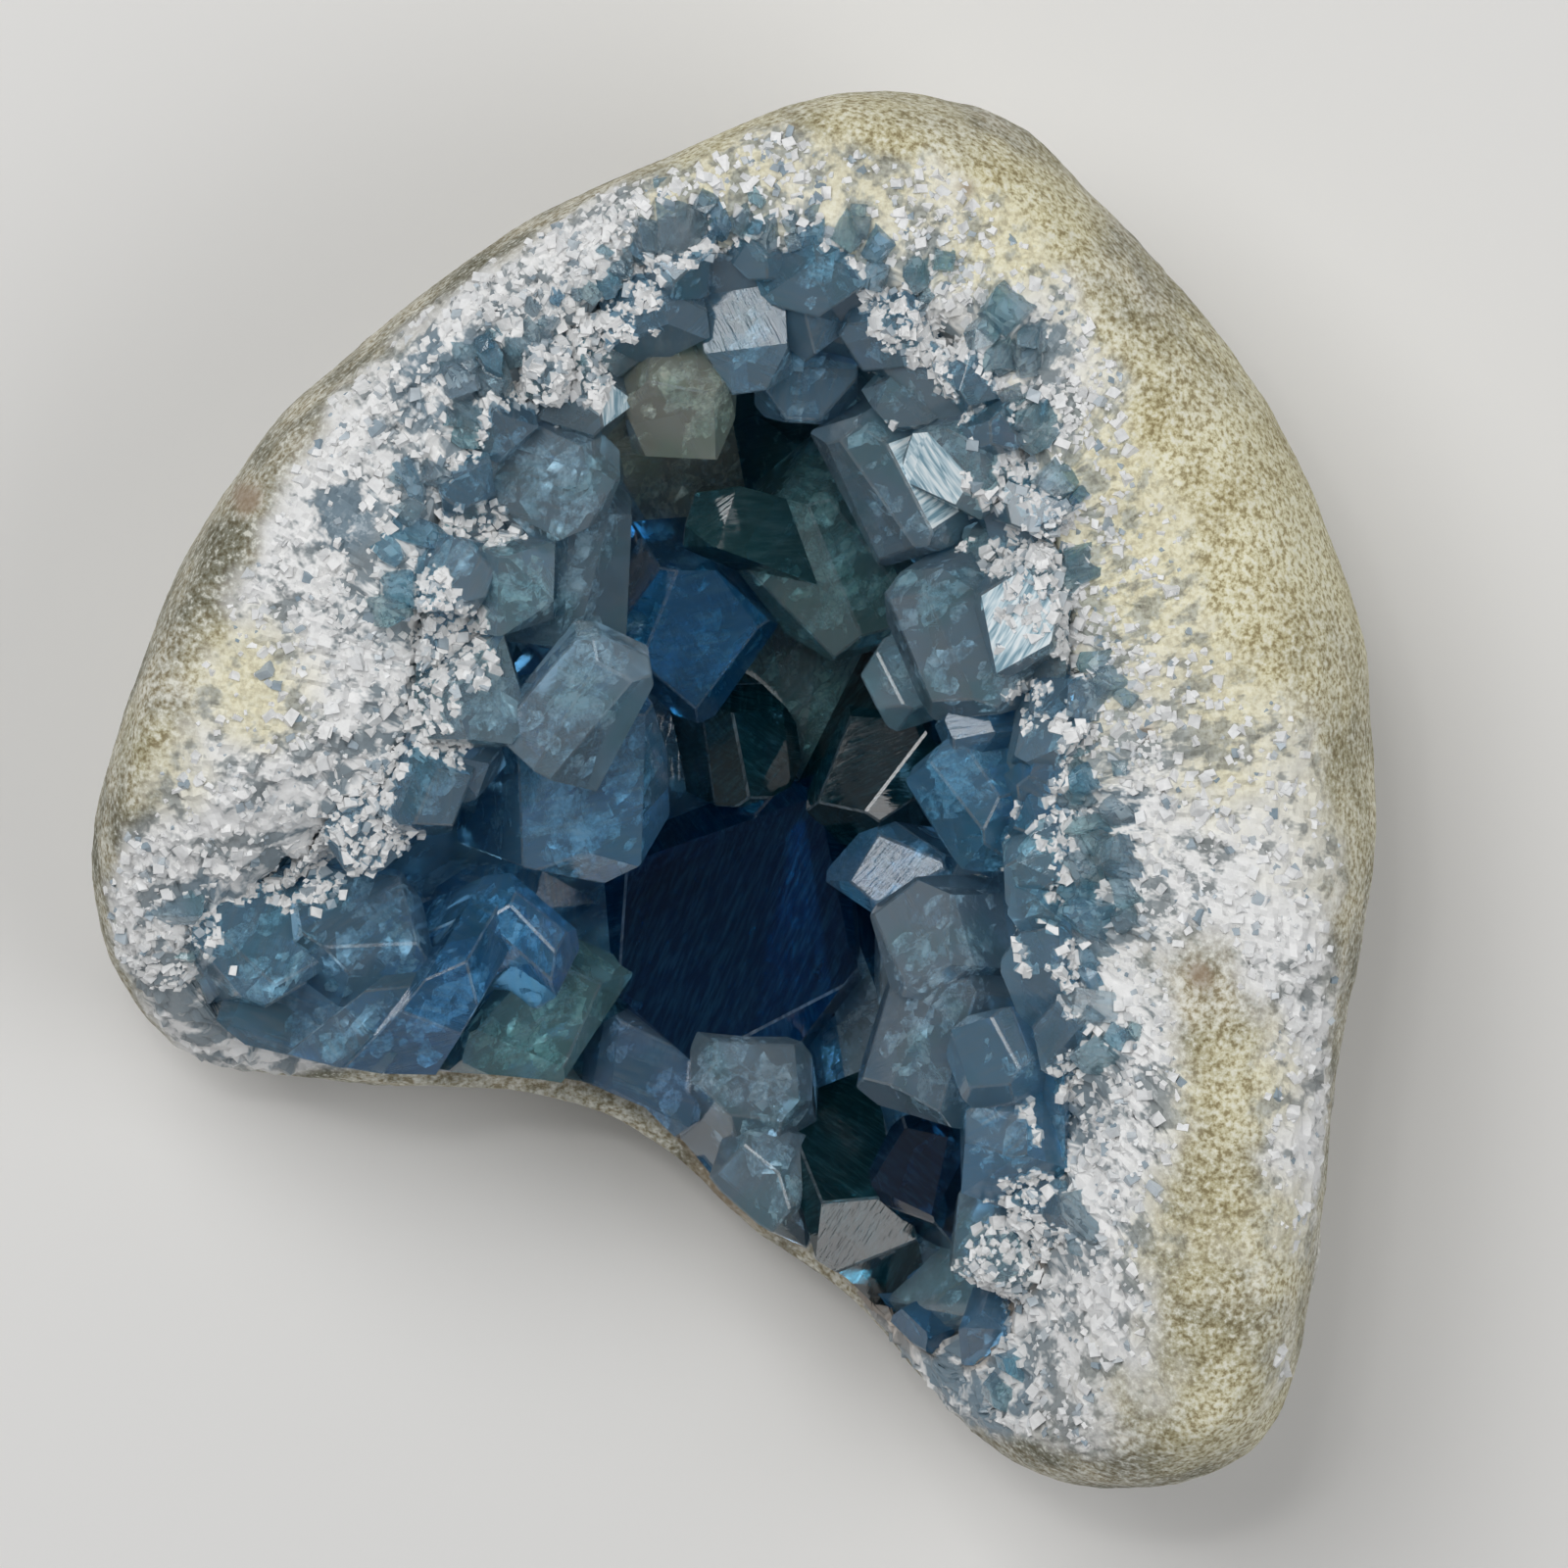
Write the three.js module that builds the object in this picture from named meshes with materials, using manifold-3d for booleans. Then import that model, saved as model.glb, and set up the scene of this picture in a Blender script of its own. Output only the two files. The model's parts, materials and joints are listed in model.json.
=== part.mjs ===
// A celestite geode lying on its back: a rounded nodule of pale stone, broken open at the top,
// and a crust of blocky celestite crystals that lines the hollow and reaches the broken edge.
// Millimetres, +Z up. The origin is under the middle of the geode, on the surface it rests on.
import * as THREE from "three";
import { ConvexGeometry } from "three/addons/geometries/ConvexGeometry.js";
import { ImprovedNoise } from "three/addons/math/ImprovedNoise.js";
import { mergeVertices } from "three/addons/utils/BufferGeometryUtils.js";
import Module from "manifold-3d";

const wasm = await Module();
wasm.setup();

// Driving dimensions of the nodule
const AXIS = new THREE.Vector2(7, 1); // every section of the nodule is cut through this upright line
const FLOOR_Z = 13; // lowest point of the hollow in the stone
const FOOT_SHARE = 0.3; // radius of the flat resting spot, as a share of the belly's
const COLUMNS = 76; // sections round the nodule
const BULGE = 0.85; // fullness of the underside: 1 is an ellipse, less is fuller
const BOWL = { side: 0.7, depth: 0.9 }; // fullness of the hollow's walls and floor
const RIM_SWELL = 0.06; // rise of the rim between its edges, as a share of its width
const LUMP = { size: 24, height: 1.7 }; // broad lumps of the outer skin
const KNOB = { size: 9, height: 0.8 }; // small knobs and pits of the outer skin
const SKIN_MIDDLE = { z: 32, round: 40 }; // height where the skin is upright, and how fast it turns
const LEDGE = { size: 7.5, height: 2.6, steps: 3, fullWidth: 12 }; // broken ledges of the rim
const GAP = 0.35; // clearance between stone and crystals

// Driving dimensions of the crystal crust
const CRUST_WALL = 7; // thickness of the massive layer that the crystals stand on
const CRUST_SHARE = 0.2; // most of the hollow's radius that the layer takes up
const CRUST_SEED = 11; // picks the sizes and turns of the smaller crystals
const CRUST_DROP = 4.5; // how far its inner edge lies below the edge of the hollow
const CRUST_ROOT = 3; // how far it is sunk into the stone before the stone is cut away
const CRYSTAL_LENGTH = 24; // a crystal's length, most of it buried in the crust
const LEAN_DEG = [0, 9]; // how far each side of a crystal leans in towards its tip
const SKEW_DEG = [5, 17]; // how far a crystal's section is from square
const TOP_TILT = 0.22; // slope of the flat on a big crystal's ridge, each way
const CORNER_CUT = [0.64, 1]; // where a big crystal's corners are cut, as a share of its half diagonal
const CURTAIN = { reach: 2.5, share: 0.25, raggedSize: 6, height: 80 }; // overhang past the mouth

// The belly is the nodule's outline seen from above, each point with the height of its bulge.
const BELLY = [
  [66, 1, 34], [63, 21, 34], [57, 36, 35], [47.5, 49, 36], [36, 62, 37], [29, 68, 37], [19, 71, 38],
  [10, 71, 38], [-1, 67.5, 38], [-11, 63, 38], [-25, 56, 38], [-37, 45, 37], [-49, 33.5, 36],
  [-56, 24, 35], [-61, 13, 33], [-65, 1, 30], [-66, -9, 27], [-64, -18, 23], [-60, -25, 19],
  [-54, -28.5, 16], [-44, -30, 14.5], [-30, -30.5, 13.5], [-19, -31, 13], [-9, -34.5, 13],
  [-2, -41, 13], [3, -46.5, 13], [11, -51.5, 14], [16.5, -57.5, 16], [24, -65.5, 22], [34, -71, 29],
  [46, -70.5, 32], [54.5, -67, 33], [58, -59, 33], [60.5, -44, 33], [62, -30.5, 33], [65, -14.5, 34],
];

// The shoulder is the line where the rounded skin ends and the broken rim begins.
const SHOULDER = [
  [53, 1, 60], [49, 24, 61], [41, 40, 62], [32, 53, 63], [20, 63, 64], [7, 64, 65], [-9, 58, 65],
  [-22, 50, 65], [-33, 41, 64], [-44, 31, 62], [-53, 18, 60], [-58, 2, 57], [-60, -8, 51],
  [-58.5, -19, 41], [-53, -25.5, 31], [-41, -28.7, 24.5], [-25, -29.8, 21.5], [-12, -31.7, 20],
  [-6, -35.7, 19.5], [1.5, -44.2, 20], [12, -50.7, 22], [17.5, -57, 27], [26, -64, 37],
  [36, -66, 48], [45, -64.5, 54], [50, -58, 57], [53, -40, 59], [53.5, -14, 60],
];

// The mouth is the edge of the hollow, where the white stone gives way to blue crystal.
const MOUTH = [
  [32.5, 1, 59], [34.5, 12, 60], [32.5, 25, 61], [26, 41, 62], [18, 49, 63], [8, 53, 63],
  [-1, 55, 63], [-11, 51, 63], [-21, 42, 62], [-28, 31, 61], [-31, 19, 60], [-33, 5, 57],
  [-42, -4, 52], [-51.5, -12, 44], [-54, -19.5, 35], [-49.5, -25, 28], [-39, -27.7, 23.5],
  [-24, -28.8, 21], [-12.5, -30.5, 19.7], [-6.5, -34.5, 19.3], [1, -43, 19.7], [11.5, -49.5, 21.5],
  [17.5, -55.5, 25], [23, -58, 32], [30, -52, 44], [33.5, -40, 53], [35.5, -29, 57], [33, -17, 58],
];

// The crystals that stand out, each by the middle of its tip, the way it points seen from above,
// its rise above level, its width across that way, its thickness, its turn about its own axis,
// and how much of the tip is flat. The deepest ones come first.
const MAIN_CRYSTALS = [
  { tip: [0, -14, 31], heading: 90, rise: 80, width: 25, thick: 26, turn: 5, flat: 0.42 },
  { tip: [-3.5, 14.5, 39], heading: -60, rise: 62, width: 14, thick: 15, turn: 15, flat: 0.3 },
  { tip: [8, 20, 39], heading: -115, rise: 50, width: 18, thick: 13, turn: -20, flat: 0.3 },
  { tip: [-3, 28, 44], heading: 160, rise: 35, width: 6.5, thick: 6, turn: 10, flat: 0.3 },
  { tip: [14.5, 10, 43], heading: 200, rise: 30, width: 8, thick: 4.5, turn: 20, flat: 0.2 },
  { tip: [18.5, -37.5, 38], heading: 150, rise: 60, width: 10, thick: 9, turn: 10, flat: 0.3 },
  { tip: [3, 4, 30], heading: -30, rise: 65, width: 12, thick: 10, turn: 30, flat: 0.3 },
  { tip: [13, 2, 35], heading: 160, rise: 60, width: 13, thick: 11, turn: 10, flat: 0.3 },
  { tip: [15, -8, 37], heading: 170, rise: 55, width: 9, thick: 11, turn: -20, flat: 0.25 },
  // left wall
  { tip: [-12.5, 0.5, 50], heading: -20, rise: 70, width: 20, thick: 15, turn: 8, flat: 0.28 },
  { tip: [-10.5, 15, 58.5], heading: 55, rise: 15, width: 9, thick: 8, turn: 15, flat: 0.25, length: 15 },
  { tip: [-12, 22, 54], heading: -10, rise: 40, width: 16, thick: 8, turn: 5, flat: 0.35 },
  { tip: [-12, 29, 59], heading: -25, rise: 20, width: 10, thick: 8, turn: 25, flat: 0.15 },
  { tip: [-19, 20, 60], heading: -20, rise: 45, width: 8, thick: 8, turn: 30, flat: 0.3 },
  { tip: [-25, 21, 61], heading: -10, rise: 35, width: 7.5, thick: 8, turn: 0, flat: 0.3 },
  { tip: [-22, 9, 59], heading: 0, rise: 45, width: 10, thick: 9, turn: 40, flat: 0.25 },
  { tip: [-28, -1, 55], heading: -30, rise: 50, width: 9, thick: 8, turn: 20, flat: 0.25 },
  { tip: [-36, -5, 52], heading: -60, rise: 55, width: 9, thick: 8.5, turn: 50, flat: 0.3 },
  // top of the arch
  { tip: [-5, 36, 57], heading: -85, rise: 40, width: 10.5, thick: 10, turn: 5, flat: 0.4 },
  { tip: [-13.5, 37, 59], heading: -65, rise: 40, width: 7.5, thick: 9, turn: 20, flat: 0.3 },
  { tip: [-6.5, 44.5, 61], heading: -80, rise: 35, width: 9.5, thick: 10, turn: 40, flat: 0.3 },
  { tip: [2, 41, 57.5], heading: -88, rise: 15, width: 8.5, thick: 8, turn: 4, flat: 0.3 },
  { tip: [8.2, 44, 59.5], heading: -85, rise: 20, width: 6, thick: 6, turn: 45, flat: 0.2 },
  { tip: [7.5, 37, 53], heading: -90, rise: 25, width: 10, thick: 7, turn: 0, flat: 0.1 },
  { tip: [15, 43, 61], heading: -105, rise: 30, width: 9, thick: 8, turn: 30, flat: 0.25 },
  // right wall
  { tip: [13.5, 29.5, 56], heading: -150, rise: 42, width: 15, thick: 9, turn: -10, flat: 0.3 },
  { tip: [21, 31, 61], heading: -145, rise: 45, width: 10, thick: 9, turn: 25, flat: 0.35 },
  { tip: [20, 14, 58], heading: -155, rise: 48, width: 15, thick: 12, turn: -15, flat: 0.25 },
  { tip: [28, 17.5, 62.5], heading: -160, rise: 62, width: 10, thick: 9.5, turn: 10, flat: 0.42 },
  { tip: [22.5, 6, 55], heading: 180, rise: 45, width: 6, thick: 6, turn: 45, flat: 0.2 },
  { tip: [22, -2, 55], heading: 190, rise: 38, width: 13, thick: 10, turn: 20, flat: 0.3 },
  { tip: [18.5, -14.5, 53], heading: 180, rise: 55, width: 11.5, thick: 10, turn: 30, flat: 0.35 },
  { tip: [17, -24.5, 51], heading: 175, rise: 50, width: 16, thick: 12, turn: -8, flat: 0.3 },
  { tip: [25, -26.5, 57], heading: 170, rise: 58, width: 9, thick: 8, turn: 20, flat: 0.3 },
  { tip: [24.5, -34, 54], heading: 160, rise: 35, width: 8.5, thick: 9, turn: 40, flat: 0.2 },
  { tip: [25, -44.5, 47], heading: 150, rise: 50, width: 9, thick: 9, turn: 15, flat: 0.3 },
  // broken front edge
  { tip: [-8, -29, 31], heading: 60, rise: 80, width: 11, thick: 10, turn: 20, flat: 0.45 },
  { tip: [2, -27.5, 34], heading: 90, rise: 60, width: 12, thick: 9, turn: 0, flat: 0.3 },
  { tip: [3.5, -36, 32], heading: 85, rise: 58, width: 9, thick: 14, turn: -12, flat: 0.15 },
  { tip: [11.5, -38, 31], heading: 100, rise: 62, width: 10.5, thick: 20, turn: 5, flat: 0.3 },
  { tip: [-18, -21.5, 37], heading: 40, rise: 62, width: 11, thick: 17, turn: 15, flat: 0.3 },
  { tip: [-19.5, -13.5, 44], heading: 30, rise: 58, width: 12, thick: 6, turn: 30, flat: 0.2 },
  { tip: [-25, -15, 45], heading: 50, rise: 45, width: 6, thick: 20, turn: 8, flat: 0.35 },
  { tip: [-30, -19, 42], heading: 45, rise: 45, width: 6.5, thick: 18, turn: -5, flat: 0.35 },
  { tip: [-47, -13.5, 45], heading: 10, rise: 72, width: 14, thick: 13, turn: 20, flat: 0.42 },
  { tip: [-37, -12, 45], heading: 60, rise: 62, width: 13, thick: 12, turn: 40, flat: 0.4 },
  { tip: [-43, -22, 39], heading: 80, rise: 74, width: 17, thick: 10, turn: -8, flat: 0.44 },
];

// Rows of smaller crystals that fill the crust between the main ones, from its edge to its floor
const CRYSTAL_ROWS = [
  { depth: 0.0, share: 0.2, count: 42, width: [4.5, 7], reach: [2, 4.5], rise: [20, 60] },
  { depth: 0.05, share: 0.9, count: 28, width: [5.5, 8], reach: [3.5, 7], rise: [20, 55] },
  { depth: 0.35, share: 0.9, count: 14, width: [8, 11], reach: [3, 6], rise: [20, 55] },
  { depth: 0.7, share: 0.9, count: 6, width: [9, 13], reach: [2, 5], rise: [35, 75] },
];
const CLEAR_OF_MAIN = 0.42; // a filler keeps this share of the two sizes from a main crystal's tip
const PLAIN_WIDTH = 9; // narrower crystals have four sides, no cut corners and a sharp ridge

const noise = new ImprovedNoise();
const TAU = 2 * Math.PI;
const QUARTER_TURN = Math.PI / 2;
const radians = THREE.MathUtils.degToRad;

// Smooth noise from -1 to 1 at a point, with features of the given size
function noiseAt(point, size) {
  return noise.noise(point.x / size + 7.3, point.y / size + 3.1, point.z / size + 5.7);
}

// A closed line round the axis through hand-placed points, read by angle as a radius and a height
function ringAround(points) {
  const knots = points
    .map(([x, y, z]) => {
      const angle = (Math.atan2(y - AXIS.y, x - AXIS.x) + TAU) % TAU;
      return { angle, radius: Math.hypot(x - AXIS.x, y - AXIS.y), z };
    })
    .sort((a, b) => a.angle - b.angle);
  const count = knots.length;
  const knot = (i) => {
    const turns = Math.floor(i / count);
    const source = knots[i - turns * count];
    return { ...source, angle: source.angle + turns * TAU };
  };
  // A cubic between two knots whose slopes follow their neighbours
  const between = (key, i, angle) => {
    const [a, b, c, d] = [knot(i - 1), knot(i), knot(i + 1), knot(i + 2)];
    const span = c.angle - b.angle;
    const t = (angle - b.angle) / span;
    const slopeB = ((c[key] - a[key]) / (c.angle - a.angle)) * span;
    const slopeC = ((d[key] - b[key]) / (d.angle - b.angle)) * span;
    const rest = 3 * (c[key] - b[key]) - 2 * slopeB - slopeC;
    const last = slopeB + slopeC - 2 * (c[key] - b[key]);
    return b[key] + t * (slopeB + t * (rest + t * last));
  };
  return (angle) => {
    const turned = ((angle % TAU) + TAU) % TAU;
    let i = knots.findLastIndex((k) => k.angle <= turned);
    const at = i < 0 ? turned + TAU : turned;
    if (i < 0) i = count - 1;
    return { radius: between("radius", i, at), z: between("z", i, at) };
  };
}

const belly = ringAround(BELLY);
const shoulder = ringAround(SHOULDER);
const mouth = ringAround(MOUTH);

// A point at an angle and a distance from the axis
function place(angle, radius, z) {
  return new THREE.Vector3(AXIS.x + radius * Math.cos(angle), AXIS.y + radius * Math.sin(angle), z);
}

// Angles of the sections, an equal step apart along the belly
function sectionAngles(count) {
  const fine = 1440;
  const lengths = [0];
  for (let i = 1; i <= fine; i++) {
    const a = ((i - 1) / fine) * TAU;
    const b = (i / fine) * TAU;
    const step = place(a, belly(a).radius, 0).distanceTo(place(b, belly(b).radius, 0));
    lengths.push(lengths[i - 1] + step);
  }
  return Array.from({ length: count }, (_, i) => {
    const wanted = (i / count) * lengths[fine];
    const j = lengths.findIndex((length) => length >= wanted);
    return (j / fine) * TAU;
  });
}
const ANGLES = sectionAngles(COLUMNS);

// A closed surface from rings of points between two poles, all rings with one point per section
function closedSurface(firstPole, rings, lastPole) {
  const points = [firstPole, ...rings.flat(), lastPole];
  const count = rings[0].length;
  const at = (ring, i) => 1 + ring * count + (i % count);
  const last = points.length - 1;
  const faces = [];
  for (let i = 0; i < count; i++) {
    faces.push(0, at(0, i + 1), at(0, i));
    for (let ring = 0; ring + 1 < rings.length; ring++) {
      faces.push(at(ring, i), at(ring, i + 1), at(ring + 1, i + 1));
      faces.push(at(ring, i), at(ring + 1, i + 1), at(ring + 1, i));
    }
    faces.push(at(rings.length - 1, i), at(rings.length - 1, i + 1), last);
  }
  const geometry = new THREE.BufferGeometry().setFromPoints(points);
  geometry.setIndex(faces);
  geometry.computeVertexNormals();
  return geometry;
}

// One section of the skin, from the edge of the flat spot round the belly to the shoulder
function skinSection(angle) {
  const b = belly(angle);
  const s = shoulder(angle);
  const foot = b.radius * FOOT_SHARE;
  const under = [0, 0.25, 0.5, 0.75, 1].map((t) => {
    const turn = t * QUARTER_TURN;
    const radius = foot + (b.radius - foot) * Math.sin(turn) ** BULGE;
    return place(angle, radius, b.z * (1 - Math.cos(turn)));
  });
  const over = [0.25, 0.5, 0.75, 1].map((t) => {
    const turn = t * QUARTER_TURN;
    const radius = s.radius + (b.radius - s.radius) * Math.cos(turn);
    return place(angle, radius, b.z + (s.z - b.z) * Math.sin(turn));
  });
  return [...under, ...over];
}

// One section of the broken rim, between the shoulder and the mouth of the hollow
function rimSection(angle) {
  const s = shoulder(angle);
  const m = mouth(angle);
  const swell = RIM_SWELL * (s.radius - m.radius);
  return [0.25, 0.5, 0.75].map((t) => {
    const radius = THREE.MathUtils.lerp(s.radius, m.radius, t);
    return place(angle, radius, THREE.MathUtils.lerp(s.z, m.z, t) + swell * Math.sin(t * Math.PI));
  });
}

// A point of a bowl that hangs from the mouth: depth 0 is its edge and depth 1 its floor on the axis
function bowlPoint(angle, depth, inset, lift, floorZ) {
  const m = mouth(angle);
  const turn = depth * QUARTER_TURN;
  const radius = (m.radius - inset) * Math.cos(turn) ** BOWL.side;
  const top = m.z + lift;
  return place(angle, radius, top - (top - floorZ) * Math.sin(turn) ** BOWL.depth);
}

// Moves a point of the skin out or in, by lumps and knobs that fade out towards the flat spot
function roughSkin(point) {
  const fade = THREE.MathUtils.smoothstep(point.z, 1, 12);
  const out = LUMP.height * noiseAt(point, LUMP.size) + KNOB.height * noiseAt(point, KNOB.size);
  const side = new THREE.Vector3(point.x - AXIS.x, point.y - AXIS.y, 0).normalize();
  side.z = (point.z - SKIN_MIDDLE.z) / SKIN_MIDDLE.round;
  return point.clone().addScaledVector(side.normalize(), fade * out);
}

// Breaks the rim into ledges, which are lower where the rim is narrow
function roughRim(point, room) {
  const raw = noiseAt(point, LEDGE.size) + 0.5 * noiseAt(point, LEDGE.size / 2);
  const stepped = Math.round(raw * LEDGE.steps) / LEDGE.steps;
  const height = LEDGE.height * Math.min(1, room / LEDGE.fullWidth);
  return point.clone().setZ(point.z + height * (0.6 * stepped + 0.4 * raw));
}

// The nodule: flat spot, skin, broken rim and hollow, section by section
function stoneGeometry() {
  const sections = ANGLES.map((angle) => {
    const skin = skinSection(angle);
    const room = shoulder(angle).radius - mouth(angle).radius;
    const rim = rimSection(angle).map((point) => roughRim(point, room));
    const hollow = [0, 0.28, 0.62].map((t) => bowlPoint(angle, t, 0, 0, FLOOR_Z));
    return [skin[0], ...skin.slice(1).map(roughSkin), ...rim, ...hollow];
  });
  const rings = sections[0].map((_, ring) => sections.map((section) => section[ring]));
  return closedSurface(place(0, 0, 0), rings, place(0, 0, FLOOR_Z));
}

// A point inside the crust's massive layer: share 0 is on the stone and share 1 on the open side
function crustPoint(angle, depth, share) {
  const wall = Math.min(CRUST_WALL, CRUST_SHARE * mouth(angle).radius);
  return bowlPoint(angle, depth, share * wall, -share * CRUST_DROP, FLOOR_Z + share * CRUST_WALL);
}

// The massive layer under the crystals, still sunk a little into the stone
function crustLayerGeometry() {
  const sections = ANGLES.filter((_, i) => i % 4 === 0).map((angle) => {
    const sunk = [0.75, 0.4, 0.1].map((t) => {
      return bowlPoint(angle, t, -CRUST_ROOT, -CRUST_ROOT, FLOOR_Z - 2 * CRUST_ROOT);
    });
    const edge = bowlPoint(angle, 0, 1, 0, FLOOR_Z);
    const open = [0, 0.35, 0.75].map((t) => crustPoint(angle, t, 1));
    return [...sunk, edge, ...open];
  });
  const rings = sections[0].map((_, ring) => sections.map((section) => section[ring]));
  return closedSurface(place(0, 0, FLOOR_Z - 2 * CRUST_ROOT), rings, place(0, 0, FLOOR_Z + CRUST_WALL));
}

// The corners of the space on the inner side of every plane
function cornersInside(planes) {
  const corners = [];
  const matrix = new THREE.Matrix3();
  for (let i = 0; i < planes.length; i++) {
    for (let j = i + 1; j < planes.length; j++) {
      for (let k = j + 1; k < planes.length; k++) {
        const [a, b, c] = [planes[i].normal, planes[j].normal, planes[k].normal];
        matrix.set(a.x, a.y, a.z, b.x, b.y, b.z, c.x, c.y, c.z);
        if (Math.abs(matrix.determinant()) < 1e-6) continue;
        const constants = new THREE.Vector3(-planes[i].constant, -planes[j].constant, -planes[k].constant);
        const corner = constants.applyMatrix3(matrix.invert());
        const inside = planes.every((plane) => plane.distanceToPoint(corner) < 1e-6);
        if (inside && !corners.some((other) => other.distanceTo(corner) < 1e-4)) corners.push(corner);
      }
    }
  }
  return corners;
}

// Even random numbers from 0 to 1, the same on every run
function randomNumbers(seed) {
  THREE.MathUtils.seededRandom(seed);
  return (low = 0, high = 1) => low + (high - low) * THREE.MathUtils.seededRandom();
}

// A celestite crystal on its own axis, tip at the origin and root below: a skewed, blocky prism
// whose sides each lean a little, with a chisel tip of two broad slopes, hipped at both ends. Big
// ones have a flat on the ridge and their corners cut off.
function crystalGeometry({ width, thick, flat, length = CRYSTAL_LENGTH }, random) {
  const face = (x, y, z, distance) => new THREE.Plane(new THREE.Vector3(x, y, z).normalize(), -distance);
  const lean = () => Math.tan(radians(random(...LEAN_DEG)));
  const hand = random() < 0.5 ? 1 : -1;
  const skew = hand * radians(random(...SKEW_DEG));
  const planes = [face(0, 0, -1, length)];
  for (const side of [-1, 1]) {
    const [x, y] = [side * Math.sin(skew), side * Math.cos(skew)];
    planes.push(face(side, 0, lean(), 0.5 * width));
    planes.push(face(x, y, lean(), 0.5 * thick));
    const slope = radians(random(30, 52));
    const ridge = flat * random(0.7, 1.1) * thick;
    planes.push(face(x * Math.sin(slope), y * Math.sin(slope), Math.cos(slope), ridge * Math.sin(slope)));
    const hip = radians(random(38, 62));
    const end = Math.min(0.44, flat + 0.1) * random(0.8, 1.1) * width;
    planes.push(face(side * Math.sin(hip), 0, Math.cos(hip), end * Math.sin(hip)));
  }
  if (width >= PLAIN_WIDTH) {
    planes.push(face(random(-TOP_TILT, TOP_TILT), random(-TOP_TILT, TOP_TILT), 1, 0));
    for (const [x, y] of [[1, 1], [-1, -1], [1, -1], [-1, 1]]) {
      const corner = random(...CORNER_CUT) * Math.hypot(0.5 * width, 0.5 * thick);
      planes.push(face(x * thick, y * width, lean(), corner));
    }
  }
  return new ConvexGeometry(cornersInside(planes));
}

// The unit vector of a heading seen from above and a rise above level, both in degrees
function wayOf(heading, rise) {
  const level = Math.cos(radians(rise));
  return new THREE.Vector3(
    level * Math.cos(radians(heading)),
    level * Math.sin(radians(heading)),
    Math.sin(radians(rise)),
  );
}

// Stands a crystal with its tip at a point, on the way it points
function standCrystal(geometry, { tip, heading, rise, turn }) {
  const way = wayOf(heading, rise);
  const side = wayOf(heading + 90, 0);
  const matrix = new THREE.Matrix4().makeBasis(side, way.clone().cross(side), way);
  return geometry.rotateZ(radians(turn)).applyMatrix4(matrix).translate(...tip);
}

// The smaller crystals, row by row round the crust, leaving out those a main crystal stands over
function fillerCrystals(random) {
  const fillers = [];
  for (const row of CRYSTAL_ROWS) {
    for (let i = 0; i < row.count; i++) {
      const angle = ((i + random(-0.3, 0.3)) / row.count) * TAU;
      const size = random(...row.width);
      const root = crustPoint(angle, row.depth, row.share);
      const heading = THREE.MathUtils.radToDeg(angle) + 180 + random(-30, 30);
      const rise = random(...row.rise);
      const tip = root.addScaledVector(wayOf(heading, rise), random(...row.reach));
      const covered = MAIN_CRYSTALS.some((main) => {
        const room = CLEAR_OF_MAIN * (0.5 * (main.width + main.thick) + size);
        return tip.distanceTo(new THREE.Vector3(...main.tip)) < room;
      });
      const shape = { width: size, thick: size * random(0.7, 1.1), flat: random(0.12, 0.32) };
      if (!covered) fillers.push({ tip: tip.toArray(), heading, rise, turn: random(0, 180), ...shape });
    }
  }
  return fillers;
}

// A geometry as a solid, for joining and cutting
function toSolid(geometry) {
  const bare = geometry.clone();
  bare.deleteAttribute("normal");
  const merged = mergeVertices(bare, 1e-4);
  return new wasm.Manifold(
    new wasm.Mesh({
      numProp: 3,
      vertProperties: new Float32Array(merged.attributes.position.array),
      triVerts: new Uint32Array(merged.index.array),
    }),
  );
}

// A solid as a geometry again
function toGeometry(solid) {
  const mesh = solid.getMesh();
  const geometry = new THREE.BufferGeometry();
  geometry.setAttribute("position", new THREE.BufferAttribute(mesh.vertProperties, 3));
  geometry.setIndex(new THREE.BufferAttribute(mesh.triVerts, 1));
  geometry.computeVertexNormals();
  return geometry;
}

// The stone grown by the clearance, which trims the crystals' roots
function grown(geometry, distance) {
  const bigger = geometry.clone();
  const { position, normal } = bigger.attributes;
  const point = new THREE.Vector3();
  const way = new THREE.Vector3();
  for (let i = 0; i < position.count; i++) {
    point.fromBufferAttribute(position, i).addScaledVector(way.fromBufferAttribute(normal, i), distance);
    position.setXYZ(i, ...point);
  }
  return bigger;
}

// An upright curtain just outside the mouth of the hollow, past which no crystal reaches
function curtainGeometry() {
  const edge = ANGLES.map((angle) => {
    const room = shoulder(angle).radius - mouth(angle).radius;
    const ragged = noiseAt(place(angle, mouth(angle).radius, 0), CURTAIN.raggedSize);
    const out = Math.min(CURTAIN.reach, CURTAIN.share * room) * (1 + ragged);
    return { angle, radius: mouth(angle).radius + out };
  });
  const ringAt = (z) => edge.map(({ angle, radius }) => place(angle, radius, z));
  return closedSurface(place(0, 0, 0), [ringAt(0), ringAt(CURTAIN.height)], place(0, 0, CURTAIN.height));
}

// The crust: massive layer and crystals joined, trimmed to the mouth, and the stone cut from under it
function crustGeometry(stone) {
  const random = randomNumbers(CRUST_SEED);
  const crystals = [...MAIN_CRYSTALS, ...fillerCrystals(random)];
  const shapes = crystals.map((crystal) => standCrystal(crystalGeometry(crystal, random), crystal));
  const joined = wasm.Manifold.union([crustLayerGeometry(), ...shapes].map(toSolid));
  const trimmed = joined.intersect(toSolid(curtainGeometry())).subtract(toSolid(grown(stone, GAP)));
  const pieces = trimmed.decompose();
  return toGeometry(pieces.reduce((a, b) => (a.volume() > b.volume() ? a : b)));
}

function namedMesh(name, geometry, material) {
  const mesh = new THREE.Mesh(geometry, material);
  mesh.name = name;
  return mesh;
}

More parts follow.
